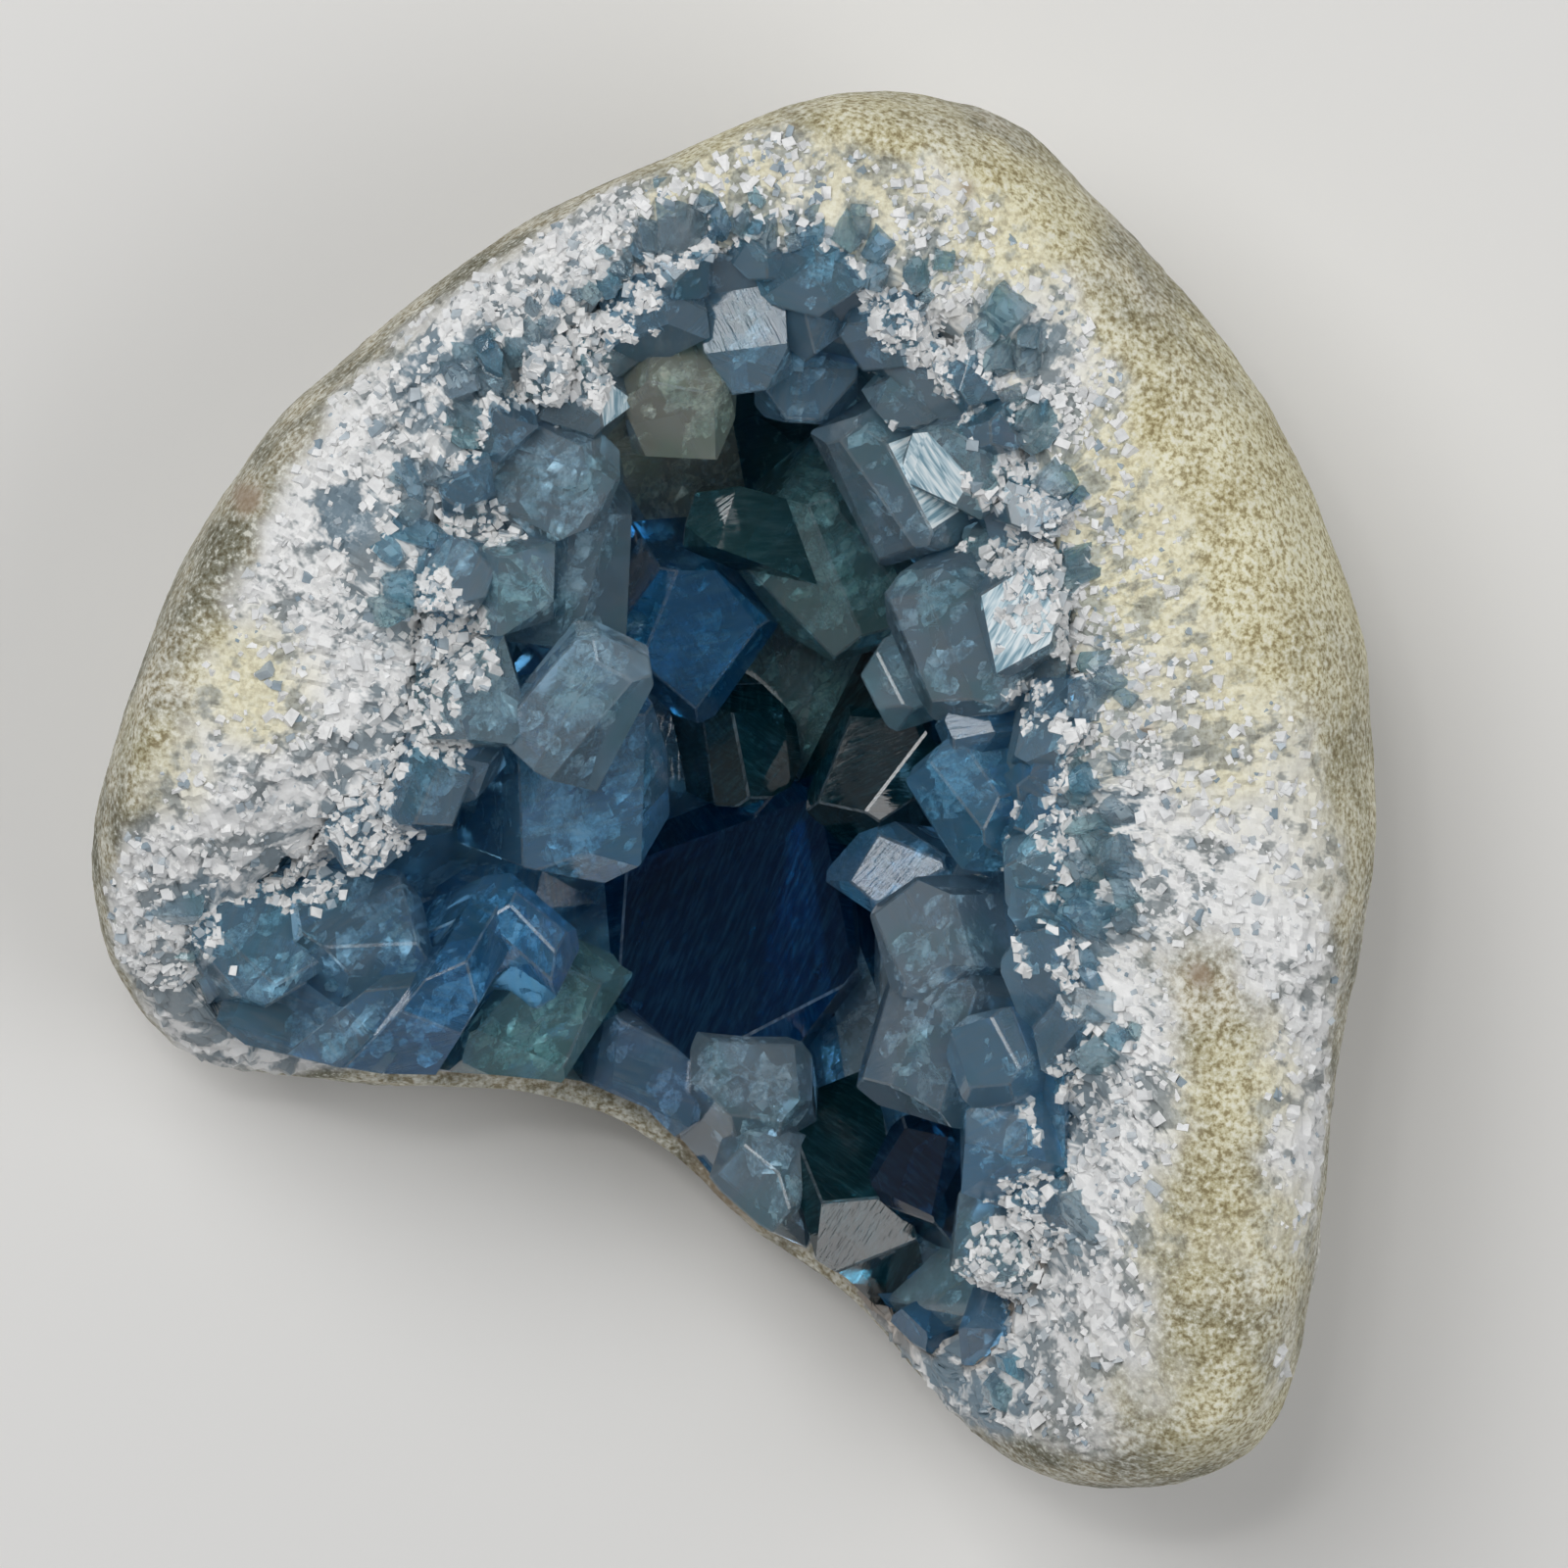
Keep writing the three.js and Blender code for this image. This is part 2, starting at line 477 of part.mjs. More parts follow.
const stoneMaterial = new THREE.MeshStandardMaterial({ color: 0xd9d6c8, roughness: 0.85, metalness: 0 });
const crystalMaterial = new THREE.MeshStandardMaterial({ color: 0x5d8fb4, roughness: 0.15, metalness: 0 });

const stone = stoneGeometry();
const geode = new THREE.Group();
geode.add(namedMesh("stone_nodule", stone, stoneMaterial));
geode.add(namedMesh("crystal_crust", crustGeometry(stone), crystalMaterial));

// Puts the origin under the middle of the whole geode
const box = new THREE.Box3().setFromObject(geode);
geode.position.set(-(box.min.x + box.max.x) / 2, -(box.min.y + box.max.y) / 2, -box.min.z);

const part = new THREE.Group();
part.add(geode);
export default part;
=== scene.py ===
import json
import math

import bmesh
import bpy
import numpy as np
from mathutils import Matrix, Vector, noise
from mathutils.bvhtree import BVHTree
from mathutils.kdtree import KDTree


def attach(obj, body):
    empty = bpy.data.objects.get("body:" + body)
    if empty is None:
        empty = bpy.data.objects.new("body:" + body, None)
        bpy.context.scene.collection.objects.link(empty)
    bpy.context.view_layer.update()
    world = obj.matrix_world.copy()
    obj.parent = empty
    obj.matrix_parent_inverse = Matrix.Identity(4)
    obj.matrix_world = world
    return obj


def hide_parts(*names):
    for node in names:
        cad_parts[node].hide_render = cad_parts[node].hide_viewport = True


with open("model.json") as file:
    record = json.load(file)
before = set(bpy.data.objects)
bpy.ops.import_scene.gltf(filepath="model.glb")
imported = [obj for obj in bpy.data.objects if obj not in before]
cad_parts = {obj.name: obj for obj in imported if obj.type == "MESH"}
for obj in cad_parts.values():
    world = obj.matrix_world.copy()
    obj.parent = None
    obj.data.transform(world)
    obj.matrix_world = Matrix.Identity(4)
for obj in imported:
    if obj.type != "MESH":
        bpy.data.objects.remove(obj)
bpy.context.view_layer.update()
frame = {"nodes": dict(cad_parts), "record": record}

# The studio: a pale table top that the geode lies on, a camera straight above it, and soft light
# from a broad panel up on the left and a weaker one on the right, with two small lamps for glints.
MM = 0.001
FRAME_WIDTH = 160 * MM
FRAME_MIDDLE = (5.05 * MM, 0.95 * MM)
CAMERA_HEIGHT = 1.0
SENSOR_WIDTH = 36
BELLY_HEIGHT = 36 * MM
CRYSTAL_BOUNCES = 6
STONE_BOUNCES = 2
TABLE_SIDE = 1.6
TABLE_COLOUR = (0.78, 0.77, 0.75)
TABLE_ROUGHNESS = 0.7
# The room is pale all round and dark overhead, where the camera hangs: height and colour
ROOM_STOPS = ((0.45, (0.42, 0.43, 0.45)), (0.85, (0.05, 0.052, 0.055)))
# Panels and lamps: place, side and power
LIGHTS = {
    "key_panel": ((-0.32, 0.36, 0.95), 0.6, 5.6),
    "fill_panel": ((0.5, -0.1, 0.85), 0.5, 2.4),
    "left_lamp": ((-0.15, 0.16, 1.1), 0.06, 0.5),
    "right_lamp": ((-0.07, 0.17, 1.1), 0.06, 0.5),
}

scene = bpy.context.scene
scene.view_settings.view_transform = "Standard"
scene.cycles.max_bounces = CRYSTAL_BOUNCES
scene.cycles.transmission_bounces = CRYSTAL_BOUNCES
scene.cycles.diffuse_bounces = STONE_BOUNCES
scene.cycles.glossy_bounces = STONE_BOUNCES


def put_in_scene(name, data):
    thing = bpy.data.objects.new(name, data)
    scene.collection.objects.link(thing)
    return thing


class Finish:
    """The nodes of a material, a node group or the world, and short calls that add to them."""

    def __init__(self, tree):
        self.nodes = tree.nodes
        self.links = tree.links
        self.shader = tree.nodes.get("Principled BSDF")

    def feed(self, socket, source):
        if isinstance(source, bpy.types.NodeSocket):
            self.links.new(source, socket)
        elif isinstance(source, tuple):
            socket.default_value = (*source, 1)
        else:
            socket.default_value = source

    def dress(self, sources):
        for name, source in sources.items():
            self.feed(self.shader.inputs[name], source)

    def ramp(self, source, *stops):
        node = self.nodes.new("ShaderNodeValToRGB")
        elements = node.color_ramp.elements
        while len(elements) < len(stops):
            elements.new(1)
        for element, (place, colour) in zip(elements, stops):
            element.position = place
            element.color = (*colour, 1) if isinstance(colour, tuple) else (colour, colour, colour, 1)
        self.feed(node.inputs["Fac"], source)
        return node.outputs["Color"]

    def mix(self, share, first, second, blend="MIX"):
        node = self.nodes.new("ShaderNodeMix")
        node.data_type = "RGBA"
        node.blend_type = blend
        colour_sockets = (node.inputs[0], node.inputs[6], node.inputs[7])
        for socket, source in zip(colour_sockets, (share, first, second)):
            self.feed(socket, source)
        return node.outputs[2]

    def calculate(self, operation, first, second):
        node = self.nodes.new("ShaderNodeMath")
        node.operation = operation
        self.feed(node.inputs[0], first)
        self.feed(node.inputs[1], second)
        return node.outputs[0]

    def attribute(self, name, output="Fac"):
        node = self.nodes.new("ShaderNodeAttribute")
        node.attribute_name = name
        return node.outputs[output]

    def noise(self, coordinates, scale, detail, roughness):
        node = self.nodes.new("ShaderNodeTexNoise")
        sources = {"Vector": coordinates, "Scale": scale, "Detail": detail, "Roughness": roughness}
        for name, source in sources.items():
            self.feed(node.inputs[name], source)
        return node.outputs["Fac"]

    def effect(self, group, **values):
        node = self.nodes.new("ShaderNodeGroup")
        node.node_tree = group
        for name, value in values.items():
            node.inputs[name].default_value = value
        return node.outputs[0]

    def bump(self, height, strength, distance):
        node = self.nodes.new("ShaderNodeBump")
        node.inputs["Strength"].default_value = strength
        node.inputs["Distance"].default_value = distance
        self.feed(node.inputs["Height"], height)
        self.feed(self.shader.inputs["Normal"], node.outputs["Normal"])


def new_finish(name):
    material = bpy.data.materials.new(name)
    material.use_nodes = True
    return material, Finish(material.node_tree)


camera_data = bpy.data.cameras.new("camera")
camera_data.sensor_width = SENSOR_WIDTH
camera_data.lens = SENSOR_WIDTH * CAMERA_HEIGHT / FRAME_WIDTH
camera = put_in_scene("camera", camera_data)
camera.location = (*FRAME_MIDDLE, BELLY_HEIGHT + CAMERA_HEIGHT)
scene.camera = camera

for name, (place, side, power) in LIGHTS.items():
    light_data = bpy.data.lights.new(name, "AREA")
    light_data.shape = "SQUARE"
    light_data.size = side
    light_data.energy = power
    light = put_in_scene(name, light_data)
    light.location = place
    aim = Vector((0, 0, BELLY_HEIGHT)) - light.location
    light.rotation_euler = aim.to_track_quat("-Z", "Y").to_euler()

room = bpy.data.worlds.new("pale_room")
room.use_nodes = True
walls = Finish(room.node_tree)
rise = walls.nodes.new("ShaderNodeSeparateXYZ")
walls.feed(rise.inputs["Vector"], walls.nodes.new("ShaderNodeTexCoord").outputs["Generated"])
walls.feed(walls.nodes["Background"].inputs["Color"], walls.ramp(rise.outputs["Z"], *ROOM_STOPS))
scene.world = room

half = TABLE_SIDE / 2
table_corners = [(-half, -half, 0), (half, -half, 0), (half, half, 0), (-half, half, 0)]
table_mesh = bpy.data.meshes.new("table_top")
table_mesh.from_pydata(table_corners, [], [(0, 1, 2, 3)])
table_material, table_finish = new_finish("pale_table")
table_finish.dress({"Base Color": TABLE_COLOUR, "Roughness": TABLE_ROUGHNESS, "Specular IOR Level": 0.0})
table_mesh.materials.append(table_material)
put_in_scene("table_top", table_mesh)


# The nodule: massive white celestite inside a thin marly rind. The rind is rounded and dull; the
# rim, where the nodule was broken open, is sugary, with grains that are white or glassy grey.
AXIS = Vector(frame["record"]["mounts"][0]["pos_m"])
WELD = 0.002 * MM
ROUNDING_LEVELS = 3
SECTORS = 120
BELLY_AVERAGE = 9
LOOK_OUT = 0.05 * MM
LOOKS_DOWN = -0.2
RIM_LEAST = 0.2
LIP_UPWARD = 0.2
RAGGED_SIZE = 9 * MM
FRAYED_SIZE = 2.5 * MM
PLATE_COUNT = 5200
PLATE_TILT = 0.4
PLATE_STEP = 0.2 * MM
PLATE_REACH = 0.6 * MM
SKIN_GRAIN = 0.12 * MM
SKIN_FINE = 1.6 * MM
SKIN_COARSE = 5 * MM
HOLLOW_ROOM = 0.8 * MM
LIP_WIDTH = 4 * MM
LIP_OVERLAP = 1.3
FLAT_SINK = 0.3 * MM
FOOT_LOW = 1 * MM
FOOT_HIGH = 10 * MM
# How much of the band between outline and crystals is rind, by angle
RIND_SHARE = [
    (0, 0.2), (10, 0.35), (20, 0.55), (45, 0.6), (62, 0.48), (80, 0.42), (95, 0.3), (120, 0.24),
    (150, 0.3), (165, 0.34), (180, 0.34), (192, 0.2), (205, 0.12), (215, 0.7), (275, 0.7), (285, 0.3),
    (300, 0.28), (315, 0.12), (345, 0.12), (360, 0.2),
]
RIND_EDGE = 0.1
RIND_RAGGED = 0.14
# Cream ridge down the right lobe, where rind was left standing: x, y and half width
RIDGE = [(45, -10, 3), (47, -18, 5), (49, -30, 4), (50, -44, 5), (50, -58, 8), (48, -66, 12)]
RIDGE_RAGGED = 0.9
RIDGE_FADE = 8 * MM
RIDGE_EDGE = 1.8
RIDGE_CORE = 0.3
LOBE_LEFT = 30 * MM
# Places where the rind is yellow with iron: middle x and y, radius and strength
YELLOW = [
    (52, 28, 26, 0.95), (28, 58, 9, 1.0), (0, 62, 10, 0.8), (-49, 11, 6, 0.9), (-57, 3, 5, 0.6),
    (50, -30, 7, 0.75), (50, -44, 8, 0.75), (50, -60, 9, 0.7), (62, 0, 10, 0.5), (14, 62, 11, 0.8),
]
RIND_UNDER_YELLOW = 0.5
# Patches of the rim that are more glassy than white, and spots of rust, in the same way
GLASSY = [
    (-29, 40, 7, 1), (-39, 27, 5, 1), (24, -60, 7, 1), (34, -22, 4, 1), (30, 45, 6, 1), (-52, -14, 6, 1),
    (39, -2, 4, 1), (12, 55, 5, 1),
]
RUST = [(-48.5, 29.5, 1.1, 0.8), (46.5, -18, 1.2, 0.8), (41, 6, 0.8, 0.8), (23, 60, 0.9, 0.8)]
# The notch, as angles, with a line of rust where its crystals end
NOTCH = (215, 300)
NOTCH_RUST = 0.7
NOTCH_LINE = (0.6 * MM, 2.6 * MM)
# The rim's grain runs out from the axis: its seam's angle, radius, and how much longer it is
FIBRE_SEAM = 245
FIBRE_RADIUS = 40 * MM
FIBRE_STRETCH = 0.55
CRYSTAL_GLOW = 6 * MM
RUST_COLOUR = (0.30, 0.22, 0.15)
PALE_SPOT_COLOUR = (0.82, 0.81, 0.72)
WHITE = (0.80, 0.80, 0.79)
YELLOW_WHITE = (0.80, 0.76, 0.56)
GREY_FLECK = (0.27, 0.29, 0.29)
BLUE_FLECK = (0.15, 0.22, 0.27)
WHITE_ROUGHNESS = (0.55, 0.55, 0.55)
FLECK_ROUGHNESS = (0.25, 0.25, 0.25)
RIND_ROUGHNESS = (0.9, 0.9, 0.9)
random = np.random.default_rng(5)


def joined_copy(node):
    shape = bmesh.new()
    shape.from_mesh(frame["nodes"][node].data)
    bmesh.ops.remove_doubles(shape, verts=shape.verts, dist=WELD)
    return shape


def corners_of(mesh):
    places = np.empty(len(mesh.vertices) * 3)
    mesh.vertices.foreach_get("co", places)
    return places.reshape(-1, 3)


def ways_of(mesh):
    ways = np.empty(len(mesh.vertices) * 3)
    mesh.vertex_normals.foreach_get("vector", ways)
    return ways.reshape(-1, 3)


def noise_at(places, size, seed):
    shift = Vector((seed, 2 * seed, 3 * seed))
    return np.array([noise.noise(Vector(p) / size + shift) for p in places])


def smooth_step(low, high, value):
    t = np.clip((value - low) / (high - low), 0, 1)
    return t * t * (3 - 2 * t)


def give(mesh, name, values, domain="POINT"):
    values = np.asarray(values, np.float32)
    kind, field = ("FLOAT_VECTOR", "vector") if values.ndim == 2 else ("FLOAT", "value")
    mesh.attributes.new(name, kind, domain).data.foreach_set(field, values.ravel())


def polar(places):
    across = places[:, :2] - np.array(AXIS[:2])
    return np.degrees(np.arctan2(across[:, 1], across[:, 0])) % 360, np.hypot(*across.T)


crust_shape = joined_copy("crystal_crust")
crust_tree = BVHTree.FromBMesh(crust_shape)

stone_shape = joined_copy("stone_nodule")
bmesh.ops.join_triangles(
    stone_shape, faces=stone_shape.faces, angle_face_threshold=math.pi, angle_shape_threshold=math.pi
)
rough_mesh = bpy.data.meshes.new("nodule_rough")
stone_shape.to_mesh(rough_mesh)
stone_shape.free()
stone = put_in_scene("nodule", rough_mesh)
stone.modifiers.new("rounding", "SUBSURF").levels = ROUNDING_LEVELS
rounded = stone.evaluated_get(bpy.context.evaluated_depsgraph_get())
stone_mesh = bpy.data.meshes.new_from_object(rounded)
stone.modifiers.clear()
stone.data = stone_mesh

places = corners_of(stone_mesh)
ways = ways_of(stone_mesh)
angle, radius = polar(places)

# Radius and height of the widest point all round, from the rounded nodule
sector = (angle / 360 * SECTORS).astype(int) % SECTORS
widest = [max(np.flatnonzero(sector == s), key=lambda i: radius[i]) for s in range(SECTORS)]
sector_angles = (np.arange(SECTORS) + 0.5) * 360 / SECTORS
wrapped_heights = np.pad(places[widest, 2], BELLY_AVERAGE // 2, mode="wrap")
belly_heights = np.convolve(wrapped_heights, np.full(BELLY_AVERAGE, 1 / BELLY_AVERAGE), mode="valid")
belly_radius = np.interp(angle, sector_angles, radius[widest], period=360)
belly_height = np.interp(angle, sector_angles, belly_heights, period=360)

# How far the crystals are from each corner, and which corners they cover
crystal_points = np.array([crust_tree.find_nearest(Vector(p))[0] for p in places])
to_crystals = np.linalg.norm(crystal_points - places, axis=1)
up = Vector((0, 0, 1))
covered = np.array([
    crust_tree.ray_cast(Vector(p) + LOOK_OUT * Vector(n), up)[0] is not None
    for p, n in zip(places, ways)
]) & (ways[:, 2] > LOOKS_DOWN)

# Rind: the outer part of the band, the ridge, and all that lies below the belly
from_skin = np.maximum(belly_radius - radius, 0)
across_rim = from_skin / (from_skin + to_crystals + 1e-6)
rind_share = np.interp(angle, *zip(*RIND_SHARE))
ragged = noise_at(places, RAGGED_SIZE, 3) + 0.5 * noise_at(places, FRAYED_SIZE, 5)
rind = smooth_step(RIND_EDGE, -RIND_EDGE, across_rim + RIND_RAGGED * ragged - rind_share)
ridge_x, ridge_y, ridge_half = np.array(RIDGE[::-1]).T * MM
ridge_top = ridge_y.max()
middle_x = np.interp(places[:, 1], ridge_y, ridge_x)
half_width = np.interp(places[:, 1], ridge_y, ridge_half)
off_ridge = np.abs(places[:, 0] - middle_x) / half_width + RIDGE_RAGGED * ragged
along = smooth_step(ridge_top, ridge_top - RIDGE_FADE, places[:, 1]) * (places[:, 0] > LOBE_LEFT)
rind = np.maximum(rind, along * smooth_step(RIDGE_EDGE, RIDGE_CORE, off_ridge))
rind = np.where(places[:, 2] < belly_height, 1.0, rind)


def patches(spots, edge, core, raggedness):
    """How much each corner is in some ragged spots, which fade from core to edge of their radius."""
    share = np.zeros(len(places))
    for x, y, reach, strength in spots:
        gap = np.hypot(places[:, 0] / MM - x, places[:, 1] / MM - y) / reach
        share = np.maximum(share, strength * smooth_step(edge, core, gap + raggedness * ragged))
    return share


yellow = patches(YELLOW, edge=1.5, core=0.3, raggedness=0.5)
glassy_patch = patches(GLASSY, edge=1.4, core=0.4, raggedness=0.5)
rust = patches(RUST, edge=1.8, core=0.3, raggedness=0.9)
in_notch = (angle > NOTCH[0]) & (angle < NOTCH[1])
rust = np.maximum(rust, NOTCH_RUST * in_notch * smooth_step(NOTCH_LINE[1], NOTCH_LINE[0], to_crystals))
rind = np.maximum(rind, RIND_UNDER_YELLOW * yellow)
rind[covered] = 0

# The broken rim is made of small tilted plates, and the skin has fine grain
rim_weight = (1 - rind) * ~covered
rim_places = places[rim_weight > RIM_LEAST]
plate_middles = rim_places[random.choice(len(rim_places), PLATE_COUNT, replace=False)]
plate_tilts = random.normal(0, PLATE_TILT, (PLATE_COUNT, 3))
plate_steps = random.uniform(-1, 1, PLATE_COUNT) * PLATE_STEP


def tree_of(spots):
    tree = KDTree(len(spots))
    for i, spot in enumerate(spots):
        tree.insert(spot, i)
    tree.balance()
    return tree


plates = tree_of(plate_middles)
plate = np.array([plates.find(p)[1] for p in places])
slope = np.einsum("ij,ij->i", places - plate_middles[plate], plate_tilts[plate])
plate_height = np.clip(slope + plate_steps[plate], -PLATE_REACH, PLATE_REACH)
skin_height = SKIN_GRAIN * (noise_at(places, SKIN_FINE, 1) + 1.5 * noise_at(places, SKIN_COARSE, 2))
height = rim_weight * plate_height + rind * skin_height - covered * HOLLOW_ROOM
snug = LIP_OVERLAP * smooth_step(LIP_WIDTH, 0, to_crystals) * (ways[:, 2] > LIP_UPWARD) * ~covered
places = places + ways * height[:, None] + snug[:, None] * (crystal_points - places)

# Rounding lifts the foot, so it goes down again onto its flat spot
foot_lift = places[:, 2].min() + FLAT_SINK
places[:, 2] -= foot_lift * smooth_step(FOOT_HIGH, FOOT_LOW, places[:, 2])
places[:, 2] = np.maximum(places[:, 2], 0)
stone_mesh.vertices.foreach_set("co", places.ravel())

turned = np.radians((angle - FIBRE_SEAM) % 360)
fibre = np.column_stack([turned * FIBRE_RADIUS, radius * FIBRE_STRETCH, places[:, 2] * FIBRE_STRETCH])
give(stone_mesh, "fibre", fibre)
give(stone_mesh, "rind", rind)
give(stone_mesh, "yellow", yellow)
give(stone_mesh, "crystal_side", np.maximum(np.exp(-to_crystals / CRYSTAL_GLOW), glassy_patch))
give(stone_mesh, "rust", rust)
stone_mesh.update()


def noise_effect(name, coordinates, *inputs, **constants):
    """A node group that puts out noise on some coordinates, with some of its values as inputs."""
    group = bpy.data.node_groups.new(name, "ShaderNodeTree")
    for socket in inputs:
        group.interface.new_socket(socket, in_out="INPUT", socket_type="NodeSocketFloat")
    group.interface.new_socket("Share", in_out="OUTPUT", socket_type="NodeSocketFloat")
    inside = Finish(group)
    values = inside.nodes.new("NodeGroupInput").outputs
    sources = {**constants, **{socket.lower(): values[socket] for socket in inputs}}
    share = inside.noise(coordinates(inside), **sources)
    inside.feed(inside.nodes.new("NodeGroupOutput").inputs["Share"], share)
    return group


def object_way(inside):
    return inside.nodes.new("ShaderNodeTexCoord").outputs["Object"]


mottle = noise_effect("mottle", object_way, "Scale", "Detail", "Roughness")

stone_material, finish = new_finish("nodule_stone")
in_rind = finish.attribute("rind")
in_yellow = finish.attribute("yellow")
crystal_side = finish.attribute("crystal_side")
blotch = finish.effect(mottle, Scale=130, Detail=2, Roughness=0.6)
speck = finish.effect(mottle, Scale=1500, Detail=2, Roughness=0.65)
cloud = finish.effect(mottle, Scale=120, Detail=2, Roughness=0.55)
fleck = finish.noise(finish.attribute("fibre", "Vector"), scale=620, detail=3, roughness=0.62)

grey_rind = finish.ramp(blotch, (0.35, (0.23, 0.23, 0.18)), (0.65, (0.64, 0.62, 0.53)))
cream_rind = finish.ramp(blotch, (0.3, (0.58, 0.53, 0.33)), (0.6, (0.77, 0.74, 0.53)))
rind_colour = finish.mix(in_yellow, grey_rind, cream_rind)
speckle = finish.ramp(speck, (0.36, (0.44, 0.38, 0.27)), (0.47, (0.80, 0.76, 0.66)), (0.55, 1.0))
rind_colour = finish.mix(1.0, rind_colour, speckle, "MULTIPLY")
rind_colour = finish.mix(finish.ramp(speck, (0.56, 0.0), (0.66, 0.6)), rind_colour, PALE_SPOT_COLOUR)

glassy = finish.calculate("ADD", fleck, finish.calculate("MULTIPLY", cloud, 0.6))
glassy = finish.calculate("ADD", glassy, finish.calculate("MULTIPLY", crystal_side, 0.15))
fleck_share = finish.ramp(glassy, (0.83, 0.0), (0.93, 0.95))
fleck_colour = finish.mix(crystal_side, GREY_FLECK, BLUE_FLECK)
sugar_colour = finish.mix(fleck_share, finish.mix(in_yellow, WHITE, YELLOW_WHITE), fleck_colour)
sugar_roughness = finish.mix(fleck_share, WHITE_ROUGHNESS, FLECK_ROUGHNESS)
stone_colour = finish.mix(in_rind, sugar_colour, rind_colour)
finish.dress({
    "Base Color": finish.mix(finish.attribute("rust"), stone_colour, RUST_COLOUR),
    "Roughness": finish.mix(in_rind, sugar_roughness, RIND_ROUGHNESS),
})
finish.bump(speck, strength=0.6, distance=0.2 * MM)
stone_mesh.materials.clear()
stone_mesh.materials.append(stone_material)
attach(stone, "root")
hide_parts("stone_nodule")


# The crust: blocky celestite crystals grown on a massive layer against the hollow's wall. They are
# clear and blue, dark where light has far to go through them, some faces frosted or striated. Low in
# the hollow and in its middle their colour is also painted darker, as painted shade.
EDGE_CHIP = 0.18 * MM
SHORT_EDGE = 0.8 * MM
CHIPPED_ANGLE = 0.3
FLAT_ANGLE = 0.02
SMOOTH_ANGLE = 0.1
SORTING_WAY = Vector((1, math.sqrt(2), math.sqrt(3)))
WALL_GAP = 0.5 * MM
FRONT_LEVEL = 0.08
FRONT_OUTWARD = 0.3
STREAK_LENGTH = 9
CHALK = (0.66, 0.76, 0.80)
ABSORBED = (0.05, 0.48, 0.76)
ABSORPTION = 26
CELESTITE_IOR = 1.62
CLEARNESS = 0.86
# Faces that are etched white have the second material: middle x and y, and how far it reaches
WORN = 1
FROSTED_UPWARD = 0.6
FROSTED = [(28, 17.5, 4), (-10, 40, 3), (20, 34, 3)]
# Crystal tints; the near-black blues and greens are painted shade for the deep hollow
TINTS = {
    "milky": (0.57, 0.82, 0.98),
    "sky": (0.39, 0.71, 0.97),
    "azure": (0.24, 0.63, 1.0),
    "deep": (0.14, 0.48, 0.90),
    "navy": (0.04, 0.28, 0.60),
    "ink_shade": (0.001, 0.03, 0.10),
    "sea": (0.28, 0.58, 0.60),
    "shade": (0.06, 0.20, 0.23),
    "black_shade": (0.004, 0.045, 0.055),
    "honey": (0.98, 1.0, 0.80),
    "lilac": (0.36, 0.62, 0.96),
    "clear": (0.60, 0.81, 0.95),
}
TINT_SPREAD = (0.85, 1.2)
LEAST_SEEN = 0.02
# How light a crystal's tint is where its faces are clean, and where they are as frosted as can be
CLEAN_TINT = 0.08
FROSTED_TINT = 0.3
CRYSTAL_FROST = 0.6
FACE_FROST = 0.4
# Crystals by their tint: middle x and y, and how far the tint reaches. The darkest tints, in the
# middle of the hollow, are painted shade.
TINTED = [
    ("ink_shade", 0, -13, 15), ("azure", -13, 1, 9), ("milky", -17, 9, 6), ("navy", -4, 14, 7),
    ("sea", 7, 20, 9), ("black_shade", 3, 4, 7), ("black_shade", 13, 2, 9), ("shade", 4, 29, 8),
    ("honey", -5, 37, 6), ("sky", 4, 48, 9), ("milky", 18, 36, 8), ("milky", 25, 16, 9),
    ("azure", 25, 0, 7), ("clear", 19, -15, 6), ("clear", 18, -25, 7), ("azure", 29, -32, 5),
    ("ink_shade", 18, -38, 5), ("milky", 25, -47, 7), ("sky", 24, -60, 6), ("lilac", -8, -30, 6),
    ("clear", 2, -35, 6), ("black_shade", 11, -42, 7), ("azure", -20, -15, 5), ("deep", -26, -17, 7),
    ("sea", -17, -24, 6), ("sky", -43, -19, 12), ("milky", -56, -23, 6), ("milky", -19, 25, 9),
    ("milky", -26, 11, 7), ("sky", -34, -4, 8), ("milky", -15, 41, 7),
]
# Other crystals are sky blue at the upper height and deep blue at the lower, in millimetres; the
# darker blue lower down is painted shade
SKY_HEIGHT = 58
DEEP_HEIGHT = 22

bmesh.ops.dissolve_limit(
    crust_shape, angle_limit=math.radians(0.5), verts=crust_shape.verts, edges=crust_shape.edges
)
stone_solid = frame["nodes"]["stone_nodule"].data
stone_tree = BVHTree.FromPolygons(
    [v.co for v in stone_solid.vertices], [p.vertices for p in stone_solid.polygons]
)


def is_cut_face(face):
    """Whether a face is where the crust ends, against the stone or at the broken front."""
    middle = face.calc_center_median()
    outward = (middle - AXIS).to_2d().normalized().dot(face.normal.to_2d())
    at_front = abs(face.normal.z) < FRONT_LEVEL and outward > FRONT_OUTWARD
    return at_front or stone_tree.find_nearest(middle, WALL_GAP)[0] is not None


def crystals_of(shape):
    """Faces grouped by crystal: crystals that grew into each other meet in hollow corners."""
    groups = [[face for face in shape.faces if is_cut_face(face)]]
    waiting = set(shape.faces).difference(groups[0])
    for first in shape.faces:
        if first not in waiting:
            continue
        waiting.remove(first)
        group = [first]
        for face in group:
            for edge in face.edges:
                if edge.is_convex or edge.calc_face_angle(0) < FLAT_ANGLE:
                    fresh = [near for near in edge.link_faces if near in waiting]
                    waiting.difference_update(fresh)
                    group.extend(fresh)
        groups.append(group)
    return groups


